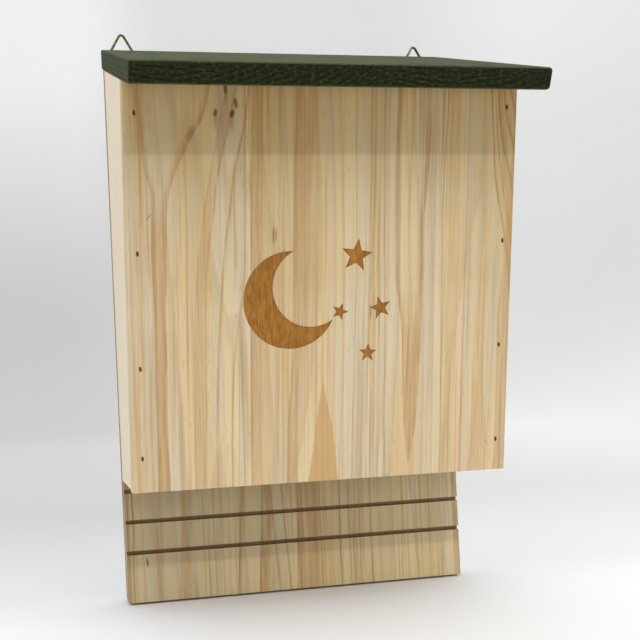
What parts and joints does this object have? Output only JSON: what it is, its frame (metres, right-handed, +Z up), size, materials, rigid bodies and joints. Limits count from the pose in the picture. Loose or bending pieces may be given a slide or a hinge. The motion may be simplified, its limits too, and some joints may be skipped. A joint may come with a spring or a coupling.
{
  "type": "bat box",
  "caption": "Wall-hung wooden bat box with a sloping green roof, a leaning front, a grooved ladder and landing board, an open entry slot below and two swinging triangle rings to hang it by.",
  "frame": {"origin": "on the wall side of the ladder board, in the middle of the box's width, 200 mm above the board's lower edge", "axes": "+X to the right seen from the front, -Y to the viewer and +Y into the wall, +Z up"},
  "size_m": [0.286, 0.1699, 0.4476],
  "materials": {
    "pine": "planed, untreated",
    "stained_roof": "dark green stain",
    "brass_wire": "bright plated wire",
    "brass_strip": "bright plated strip",
    "steel_pin": "dulled panel pins"
  },
  "bodies": {
    "box": {"back_board": "pine", "left_side": "pine", "right_side": "pine", "front_panel": "pine", "floor_board": "pine", "roof": "stained_roof", "left_strap": "brass_strip", "right_strap": "brass_strip", "left_strap_screw": "brass_strip", "right_strap_screw": "brass_strip", "front_pins_left": "steel_pin", "front_pins_right": "steel_pin", "back_pins_left": "steel_pin", "back_pins_right": "steel_pin", "roof_pins_left": "steel_pin", "roof_pins_right": "steel_pin", "floor_pins_left": "steel_pin", "floor_pins_right": "steel_pin"},
    "left_ring": {"left_ring": "brass_wire"},
    "right_ring": {"right_ring": "brass_wire"}
  },
  "joints": [
    {"name": "left_ring_swing", "type": "hinge", "parent": "box", "child": "left_ring", "pos_m": [-0.1233, 0.00185, 0.222], "axis": [-1, 0, 0], "range_deg": [0, 172]},
    {"name": "right_ring_swing", "type": "hinge", "parent": "box", "child": "right_ring", "pos_m": [0.1245, 0.00185, 0.2174], "axis": [-1, 0, 0], "range_deg": [0, 172]}
  ]
}
